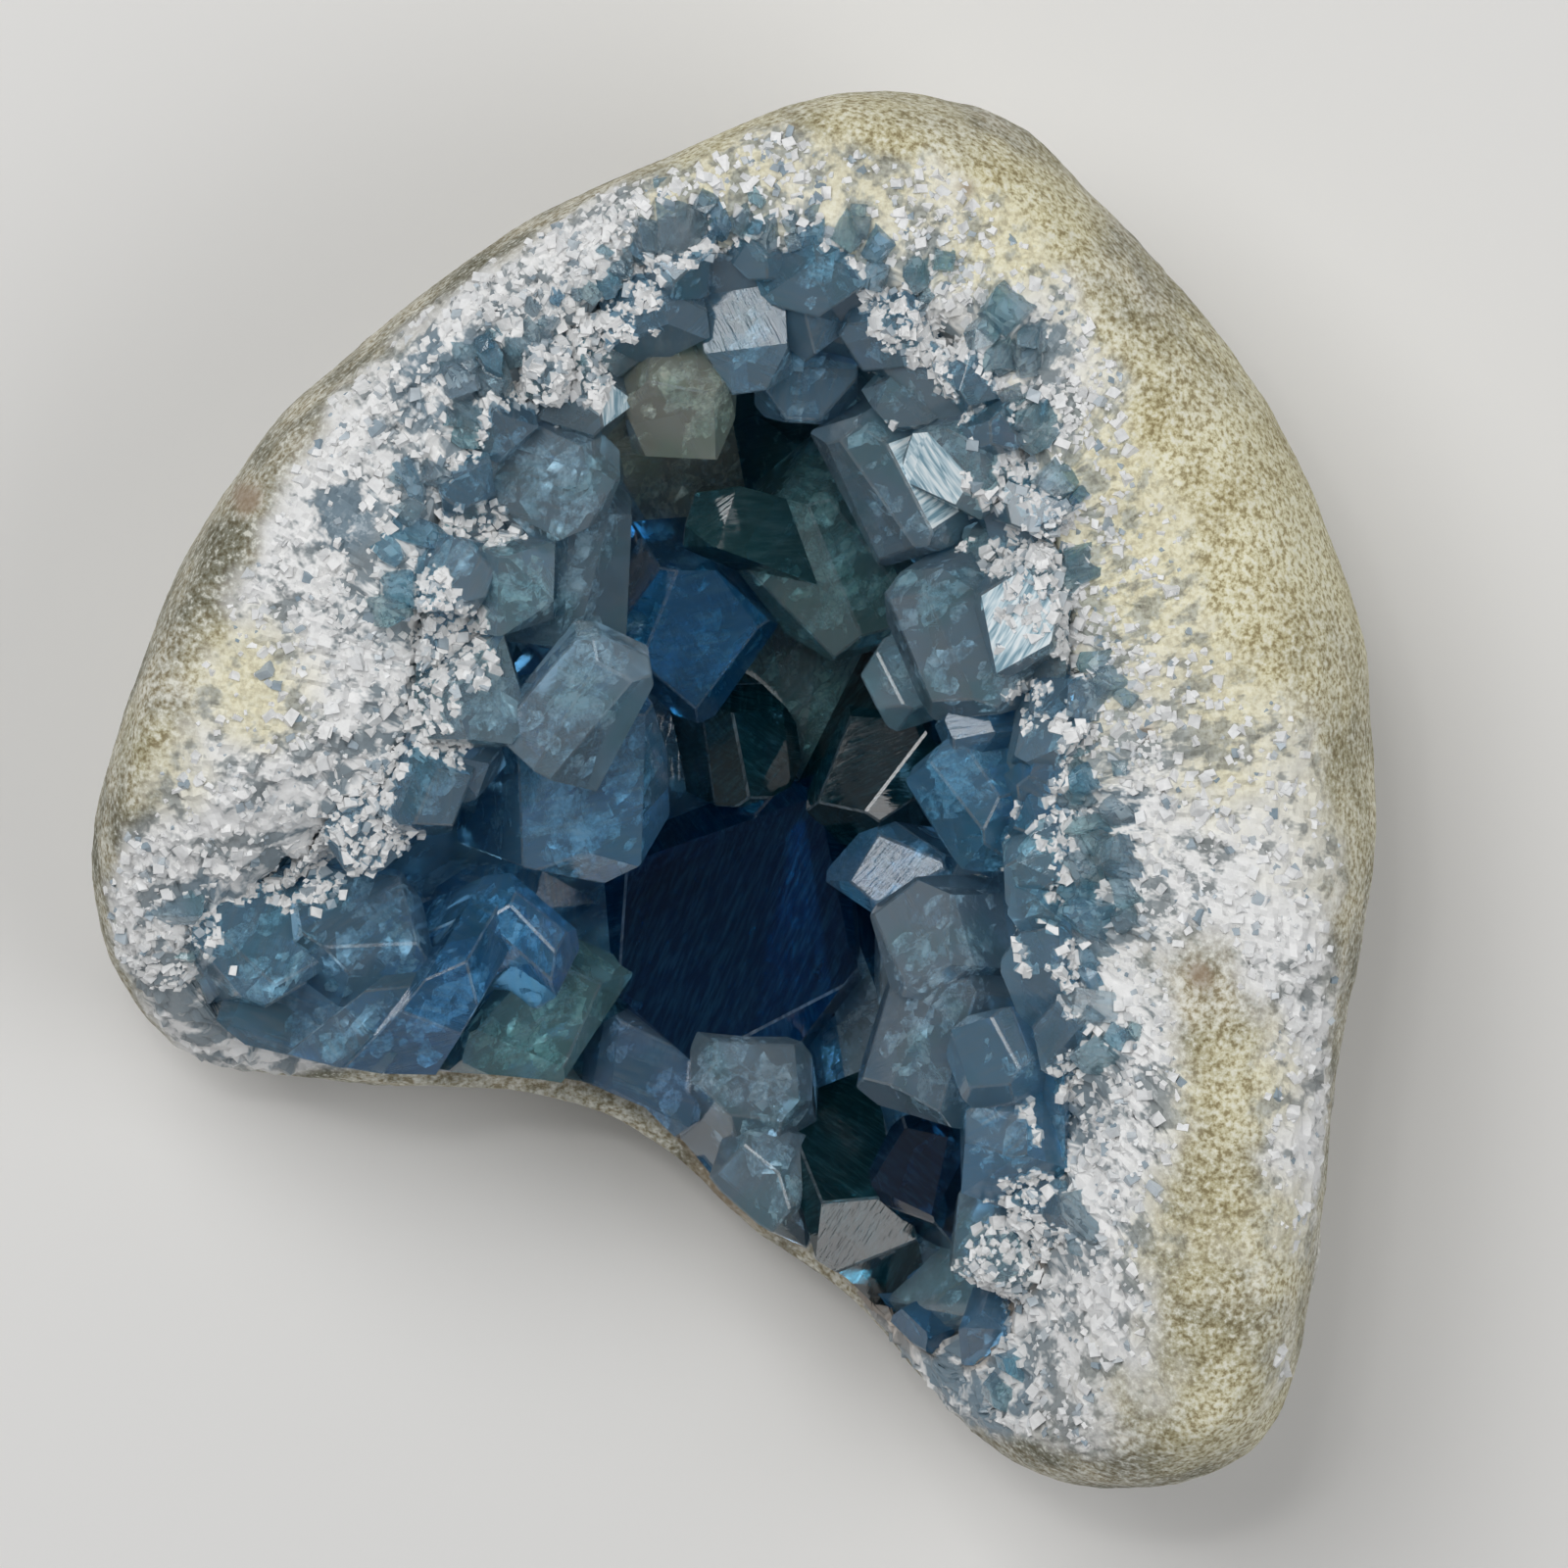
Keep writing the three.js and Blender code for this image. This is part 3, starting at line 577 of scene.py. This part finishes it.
def tint_at(middle):
    x, y, z = middle / MM
    best, share = None, 0
    for name, spot_x, spot_y, reach in TINTED:
        fit = 1 - math.hypot(x - spot_x, y - spot_y) / reach
        if fit > share:
            best, share = name, fit
    if best:
        return np.array(TINTS[best])
    # Lower down the tint is painted darker, as painted shade of the hollow
    depth_shade = smooth_step(SKY_HEIGHT, DEEP_HEIGHT, z)
    return np.array(TINTS["sky"]) * (1 - depth_shade) + np.array(TINTS["deep"]) * depth_shade


def is_frosted(face):
    middle = face.calc_center_median() / MM
    near = any(math.hypot(middle.x - x, middle.y - y) < reach for x, y, reach in FROSTED)
    return near and face.normal.z > FROSTED_UPWARD


layers = crust_shape.faces.layers
body_layer = layers.float_vector.new("body")
way_layer = layers.float_vector.new("way")
frost_layer = layers.float.new("frost")
for group in crystals_of(crust_shape):
    areas = np.array([face.calc_area() for face in group])
    middles = np.array([face.calc_center_median() for face in group])
    outward = np.array([face.normal for face in group])
    seen = areas * np.maximum(outward[:, 2], LEAST_SEEN)
    middle = (middles * seen[:, None]).sum(axis=0) / seen.sum()
    way = (outward * areas[:, None]).sum(axis=0)
    body = tint_at(middle) * random.uniform(*TINT_SPREAD)
    if is_cut_face(group[0]):
        body = np.array(TINTS["clear"])
    crystal_frost = random.uniform() ** 2
    cleanness = smooth_step(FROSTED_TINT, CLEAN_TINT, body.mean())
    for face in group:
        face[body_layer] = body
        face[way_layer] = Vector(way).normalized()
        frost = CRYSTAL_FROST * crystal_frost + FACE_FROST * random.uniform() ** 3
        face[frost_layer] = frost * (1 - cleanness)
        if is_frosted(face):
            face.material_index = WORN


def is_chipped(edge):
    shortest = min(near.calc_length() for vert in edge.verts for near in vert.link_edges)
    return edge.is_convex and edge.calc_face_angle(0) > CHIPPED_ANGLE and shortest > SHORT_EDGE


# Edges that join are chipped together, so that a short edge holds back only its own crystal
chipped = [edge for edge in crust_shape.edges if is_chipped(edge)]
waiting = set(chipped)
for first in chipped:
    if first not in waiting:
        continue
    waiting.remove(first)
    joined = [first]
    for edge in joined:
        fresh = [near for vert in edge.verts for near in vert.link_edges if near in waiting]
        joined.extend(dict.fromkeys(fresh))
        waiting.difference_update(fresh)
    chips = bmesh.ops.bevel(
        crust_shape, geom=joined, offset=EDGE_CHIP, offset_type="OFFSET", segments=1, profile=0.5,
        affect="EDGES", clamp_overlap=True,
    )
    for face in chips["faces"]:
        face[frost_layer] = 1
bmesh.ops.triangulate(crust_shape, faces=crust_shape.faces)

# Chipping leaves corners and faces in any order, so they are put in one that is the same each run
crust_shape.verts.sort(key=lambda vert: vert.co.dot(SORTING_WAY))
crust_shape.faces.sort(key=lambda face: face.calc_center_median().dot(SORTING_WAY))
for edge in crust_shape.edges:
    edge.smooth = edge.calc_face_angle(0) < SMOOTH_ANGLE
crust_mesh = bpy.data.meshes.new("celestite_crust")
crust_shape.to_mesh(crust_mesh)
crust_shape.free()
crust = put_in_scene("celestite_crust", crust_mesh)


def face_vectors(mesh, name):
    vectors = np.empty(len(mesh.polygons) * 3, np.float32)
    mesh.attributes[name].data.foreach_get("vector", vectors)
    return vectors.reshape(-1, 3)


def give_streaks(mesh):
    """Coordinates on each face that run slowly along its crystal, for the streaks of growth."""
    count = len(mesh.polygons)
    ways = face_vectors(mesh, "way")
    outward = np.empty(count * 3, np.float32)
    mesh.polygon_normals.foreach_get("vector", outward)
    outward = outward.reshape(-1, 3)
    along = ways - outward * np.einsum("ij,ij->i", ways, outward)[:, None]
    along += 1e-4
    along /= np.linalg.norm(along, axis=1)[:, None]
    across = np.cross(outward, along)
    corners = np.empty(len(mesh.loops), np.int32)
    mesh.loops.foreach_get("vertex_index", corners)
    face = np.repeat(np.arange(count), [len(p.vertices) for p in mesh.polygons])
    places = corners_of(mesh)[corners]
    slow = np.einsum("ij,ij->i", places, along[face]) / STREAK_LENGTH
    quick = np.einsum("ij,ij->i", places, across[face])
    level = np.einsum("ij,ij->i", places, outward[face])
    give(mesh, "streak", np.column_stack([quick, slow, level]), "CORNER")


def streak_way(inside):
    return inside.attribute("streak", "Vector")


give_streaks(crust_mesh)
growth_streaks = noise_effect("growth_streaks", streak_way, "Scale", "Roughness", detail=2)

crystal_material, finish = new_finish("blue_celestite")
frost = finish.attribute("frost")
streak = finish.effect(growth_streaks, Scale=2600, Roughness=0.65)
zone = finish.effect(mottle, Scale=170, Detail=1, Roughness=0.5)
zone_colour = finish.ramp(zone, (0.36, (0.82, 0.96, 0.93)), (0.52, 1.0))
tint = finish.mix(1.0, finish.attribute("body", "Color"), zone_colour, "MULTIPLY")
pale = finish.nodes.new("ShaderNodeGamma")
pale.inputs["Gamma"].default_value = 0.6
finish.feed(pale.inputs["Color"], tint)
body_colour = finish.mix(finish.ramp(streak, (0.45, 0.0), (0.7, 0.8)), tint, pale.outputs["Color"])
rime = finish.ramp(finish.calculate("MULTIPLY", frost, streak), (0.25, 0.0), (0.7, 0.8))
finish.dress({
    "Base Color": finish.mix(rime, body_colour, CHALK),
    "Roughness": finish.ramp(frost, (0, 0.02), (1, 0.2)),
    "IOR": CELESTITE_IOR,
    "Transmission Weight": CLEARNESS,
})
finish.bump(streak, strength=0.1, distance=0.2 * MM)
absorb = finish.nodes.new("ShaderNodeVolumeAbsorption")
absorb.inputs["Color"].default_value = (*ABSORBED, 1)
absorb.inputs["Density"].default_value = ABSORPTION
finish.feed(finish.nodes["Material Output"].inputs["Volume"], absorb.outputs["Volume"])
crust_mesh.materials.append(crystal_material)

worn_material, finish = new_finish("worn_celestite")
etched = finish.effect(growth_streaks, Scale=1800, Roughness=0.7)
etched_stops = ((0.36, (0.20, 0.34, 0.42)), (0.5, (0.50, 0.64, 0.70)), (0.62, (0.80, 0.87, 0.89)))
finish.dress({
    "Base Color": finish.ramp(etched, *etched_stops),
    "Roughness": finish.ramp(etched, (0.4, 0.25), (0.6, 0.6)),
})
crust_mesh.materials.append(worn_material)
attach(crust, "root")
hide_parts("crystal_crust")


# Veils: healed cracks inside the crystals, thin, wavy and white. They catch the light below the
# faces and make the crystals near the rim milky.
VEIL_COUNT = 2000
VEIL_RADIUS = (0.8, 3.6)
VEIL_DEPTH = (0.5, 6)
VEIL_SIDES = 8
VEIL_THICKNESS = 0.06 * MM
VEIL_ROOM = 0.12 * MM
VEIL_LEAN = 0.45
VEIL_WIDTH = 0.6
VEIL_SPREAD = (0.45, 1)
VEIL_WAVE = 0.12
# How pale a crystal is with no veils, and with most
VEILED_FROM = 0.2
VEILED_TO = 0.55

crust_tree = BVHTree.FromPolygons(
    [v.co for v in crust_mesh.vertices], [p.vertices for p in crust_mesh.polygons]
)


def inside_crust(point):
    nearest, outward, _, gap = crust_tree.find_nearest(point)
    return gap > VEIL_ROOM and (point - nearest).dot(outward) < 0


def spot_on(face):
    """A random place on a face of the crust."""
    corners = [crust_mesh.vertices[v].co for v in sorted(face.vertices)]
    shares = random.dirichlet((1, 1, 1))
    return sum((float(share) * corner for share, corner in zip(shares, corners)), Vector())


paleness = smooth_step(VEILED_FROM, VEILED_TO, face_vectors(crust_mesh, "body").mean(axis=1))
veil_faces = np.array([p.area * max(p.normal.z, 0) for p in crust_mesh.polygons]) * paleness
veil_corners = []
veil_polygons = []
for index in random.choice(len(veil_faces), VEIL_COUNT, p=veil_faces / veil_faces.sum()):
    face = crust_mesh.polygons[index]
    spot = spot_on(face)
    middle = spot - face.normal * float(random.uniform(*VEIL_DEPTH)) * MM
    tilt = Vector(face.normal + Vector(random.normal(0, VEIL_LEAN, 3))).normalized()
    side = tilt.orthogonal().normalized()
    other = tilt.cross(side)
    reach = float(random.uniform(*VEIL_RADIUS)) * MM
    corners = [middle - VEIL_THICKNESS * tilt, middle + VEIL_THICKNESS * tilt]
    for turn in np.linspace(0, 2 * math.pi, VEIL_SIDES, endpoint=False):
        spread = float(reach * random.uniform(*VEIL_SPREAD))
        wave = float(VEIL_WAVE * reach * random.normal())
        across = math.cos(turn) * side + VEIL_WIDTH * math.sin(turn) * other
        corners.append(middle + spread * across + wave * tilt)
    if not all(inside_crust(corner) for corner in corners):
        continue
    first = len(veil_corners)
    veil_corners.extend(corners)
    rim = [first + 2 + i for i in range(VEIL_SIDES)]
    for here, there in zip(rim, rim[1:] + rim[:1]):
        veil_polygons.extend([(first, there, here), (first + 1, here, there)])
veil_mesh = bpy.data.meshes.new("crystal_veils")
veil_mesh.from_pydata(veil_corners, [], veil_polygons)

veil_material, finish = new_finish("healed_crack")
wisp = finish.effect(mottle, Scale=500, Detail=3, Roughness=0.65)
finish.dress({
    "Base Color": finish.ramp(wisp, (0.4, (0.55, 0.80, 0.93)), (0.65, (0.90, 0.96, 0.98))),
    "Alpha": finish.ramp(wisp, (0.42, 0.0), (0.62, 0.8)),
    "Roughness": 0.3,
    "Metallic": 0.3,
})
veil_mesh.materials.append(veil_material)
veils = put_in_scene("crystal_veils", veil_mesh)
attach(veils, "root")


# Lip druse: small celestite crystals that stand out of the rim where it meets the crust. They are
# paler than the big ones, and each is rooted in the white stone.
DRUSE_COUNT = 170
DRUSE_WIDTH = (1.6, 4.8)
DRUSE_SHAPES = ((0.8, 0.6, 0.7), (1.1, 1.0, 1.2))
DRUSE_REACH = 2.2 * MM
DRUSE_LEAN = 0.7
DRUSE_SCATTER = 0.35
DRUSE_UNEVEN = 0.06
DRUSE_UPWARD = 0.55
DRUSE_TINTS = ("milky", "sky", "clear", "milky")
LIP_LOW = 38 * MM
# The rim on the left is plain white, with few crystals: its angles, and their share
PLAIN_RIM = (150, 198)
PLAIN_RIM_SHARE = 0.25
CHISEL_CORNERS = np.array([
    (-0.5, -0.4, -1), (0.4, -0.5, -1), (0.5, 0.4, -1), (-0.4, 0.5, -1),
    (-0.45, -0.36, 0.25), (0.36, -0.45, 0.25), (0.45, 0.36, 0.25), (-0.36, 0.45, 0.25),
    (-0.22, 0.02, 0.65), (0.22, -0.02, 0.65),
])
CHISEL_FACES = [
    (3, 2, 1, 0), (0, 1, 5, 4), (1, 2, 6, 5), (2, 3, 7, 6), (3, 0, 4, 7),
    (4, 5, 9, 8), (6, 7, 8, 9), (5, 6, 9), (7, 4, 8),
]


def unit(vectors):
    return vectors / np.linalg.norm(vectors, axis=1)[:, None]


def mostly_small(sizes, count):
    smallest, largest = sizes
    return smallest + (largest - smallest) * random.uniform(size=count) ** 2


def scattered(name, corners, faces, middles, ways, sizes, unevenness):
    """One mesh of many copies of a small body, each turned along its way and made uneven."""
    count = len(middles)
    ways = unit(ways)
    sides = unit(np.cross(ways, random.normal(size=(count, 3))))
    turns = np.stack([sides, np.cross(ways, sides), ways], axis=1)
    shapes = corners * (1 + random.normal(0, unevenness, (count, *corners.shape)))
    shapes = np.einsum("nij,njk->nik", shapes * sizes[:, None, :], turns) + middles[:, None, :]
    first = np.arange(count) * len(corners)
    polygons = [tuple(corner + start for corner in face) for start in first for face in faces]
    mesh = bpy.data.meshes.new(name)
    mesh.from_pydata(shapes.reshape(-1, 3).tolist(), [], polygons)
    return mesh


on_lip = (ways[:, 2] > DRUSE_UPWARD) & (places[:, 2] > LIP_LOW) & (to_crystals < 2 * DRUSE_REACH)
lip_chance = rim_weight * np.exp(-to_crystals / DRUSE_REACH) * on_lip
lip_chance *= np.where((angle > PLAIN_RIM[0]) & (angle < PLAIN_RIM[1]), PLAIN_RIM_SHARE, 1)
chosen = random.choice(len(places), DRUSE_COUNT, replace=False, p=lip_chance / lip_chance.sum())
druse_middles = places[chosen]
inward = np.array(AXIS) - druse_middles
inward[:, 2] = 0
druse_ways = ways[chosen] + DRUSE_LEAN * unit(inward) + random.normal(0, DRUSE_SCATTER, (DRUSE_COUNT, 3))
druse_width = mostly_small(DRUSE_WIDTH, DRUSE_COUNT)
druse_sizes = druse_width[:, None] * random.uniform(*DRUSE_SHAPES, (DRUSE_COUNT, 3)) * MM
druse_mesh = scattered(
    "lip_druse", CHISEL_CORNERS, CHISEL_FACES, druse_middles, druse_ways, druse_sizes, DRUSE_UNEVEN
)
druse_tints = np.array([TINTS[name] for name in random.choice(DRUSE_TINTS, DRUSE_COUNT)])
druse_tints *= random.uniform(*TINT_SPREAD, (DRUSE_COUNT, 1))
give(druse_mesh, "body", np.repeat(druse_tints, len(CHISEL_CORNERS), axis=0))
give(druse_mesh, "frost", np.repeat(random.uniform(size=DRUSE_COUNT) ** 2, len(CHISEL_CORNERS)))
give(druse_mesh, "way", np.repeat(unit(druse_ways), len(CHISEL_FACES), axis=0), "FACE")
give_streaks(druse_mesh)
druse_mesh.materials.append(crystal_material)
druse = put_in_scene("lip_druse", druse_mesh)
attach(druse, "root")


# Sugar grains: the broken rim is a mass of small celestite grains, most of them white, the others
# glassy and grey. They stand out of its surface, and lie as crumbs on the crystals next to it.
GRAIN_COUNT = 4500
GRAIN_SIZE = (0.4, 1.3)
GRAIN_SHAPES = (0.6, 1.2)
GRAIN_SINK = 0.25
GRAIN_SCATTER = 0.5
GRAIN_UNEVEN = 0.16
GRAIN_REACH = 4 * MM
GRAIN_LEAST = 0.25
GRAIN_RIM = (0.35, 0.8)
GLASSY_BARE = 0.8
CRUMB_COUNT = 3600
CRUMB_LOW = 44 * MM
CRUMB_UPWARD = 0.1
CRUMB_REACH = 9 * MM
CRUMB_PATCH_SIZES = (6 * MM, 2 * MM)
CRUMB_SHARE = 0.45
CRUMB_PATCHINESS = 0.9
# Crystals with more crumbs or, below zero, with fewer: middle x and y, radius and strength
CRUMB_PATCHES = [
    (-27, 12, 7, 1), (-35, -3, 8, 1), (26, -47, 7, 1), (-16, 42, 6, 1), (29, 24, 5, 1),
    (4, 48, 9, -2), (24, -60, 8, -2),
]
SQUARE = ((-0.5, -0.5), (0.5, -0.5), (0.5, 0.5), (-0.5, 0.5))
BLOCK_CORNERS = np.array([(x, y, z) for z in (-0.5, 0.5) for x, y in SQUARE])
BLOCK_FACES = [(3, 2, 1, 0), (4, 5, 6, 7), (0, 1, 5, 4), (1, 2, 6, 5), (2, 3, 7, 6), (3, 0, 4, 7)]

rim_tree = tree_of(rim_places)
crumb_chance = np.array([
    p.area * (p.normal.z > CRUMB_UPWARD) * (p.center.z > CRUMB_LOW) for p in crust_mesh.polygons
])
crumb_chance /= crumb_chance.sum()


def crumb_reach(spot):
    """How far from the rim crumbs lie here, in a patchy way."""
    wide, narrow = CRUMB_PATCH_SIZES
    patchy = noise.noise(spot / wide) + 0.5 * noise.noise(spot / narrow)
    whiter = sum(
        strength * max(1 - math.hypot(spot.x / MM - x, spot.y / MM - y) / reach, 0)
        for x, y, reach, strength in CRUMB_PATCHES
    )
    return CRUMB_REACH * (CRUMB_SHARE + CRUMB_PATCHINESS * patchy + whiter)


crumb_spots = []
crumb_ways = []
while len(crumb_spots) < CRUMB_COUNT:
    face = crust_mesh.polygons[random.choice(len(crumb_chance), p=crumb_chance)]
    spot = spot_on(face)
    if rim_tree.find(spot)[2] < crumb_reach(spot):
        crumb_spots.append(spot)
        crumb_ways.append(face.normal.copy())

near_crystals = GRAIN_LEAST + np.exp(-to_crystals / GRAIN_REACH)
grain_chance = smooth_step(*GRAIN_RIM, rim_weight) * near_crystals * (places[:, 2] > LIP_LOW)
grain_chance *= 1 - GLASSY_BARE * glassy_patch
chosen = random.choice(len(places), GRAIN_COUNT, replace=False, p=grain_chance / grain_chance.sum())
grain_ways = np.vstack([ways[chosen], crumb_ways])
grain_middles = np.vstack([places[chosen], crumb_spots])
count = len(grain_ways)
grain_width = mostly_small(GRAIN_SIZE, count)
grain_sizes = grain_width[:, None] * random.uniform(*GRAIN_SHAPES, (count, 3)) * MM
grain_middles -= grain_ways * GRAIN_SINK * grain_width[:, None] * MM
grain_ways += random.normal(0, GRAIN_SCATTER, (count, 3))
grain_mesh = scattered(
    "sugar_grains", BLOCK_CORNERS, BLOCK_FACES, grain_middles, grain_ways, grain_sizes, GRAIN_UNEVEN
)
give(grain_mesh, "tone", np.repeat(random.uniform(size=count), len(BLOCK_CORNERS)))

grain_material, finish = new_finish("sugar_celestite")
tone = finish.attribute("tone")
cloud = finish.effect(mottle, Scale=900, Detail=3, Roughness=0.6)
white_stops = ((0.0, (0.83, 0.83, 0.82)), (0.8, (0.77, 0.78, 0.78)))
grey_stops = ((0.88, (0.50, 0.56, 0.60)), (1.0, (0.24, 0.32, 0.38)))
grain_tone = finish.ramp(tone, *white_stops, *grey_stops)
finish.dress({
    "Base Color": finish.mix(1.0, grain_tone, finish.ramp(cloud, (0.3, 0.8), (0.6, 1.0)), "MULTIPLY"),
    "Roughness": finish.ramp(tone, (0.6, 0.5), (1.0, 0.15)),
})
grain_mesh.materials.append(grain_material)
grains = put_in_scene("sugar_grains", grain_mesh)
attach(grains, "root")
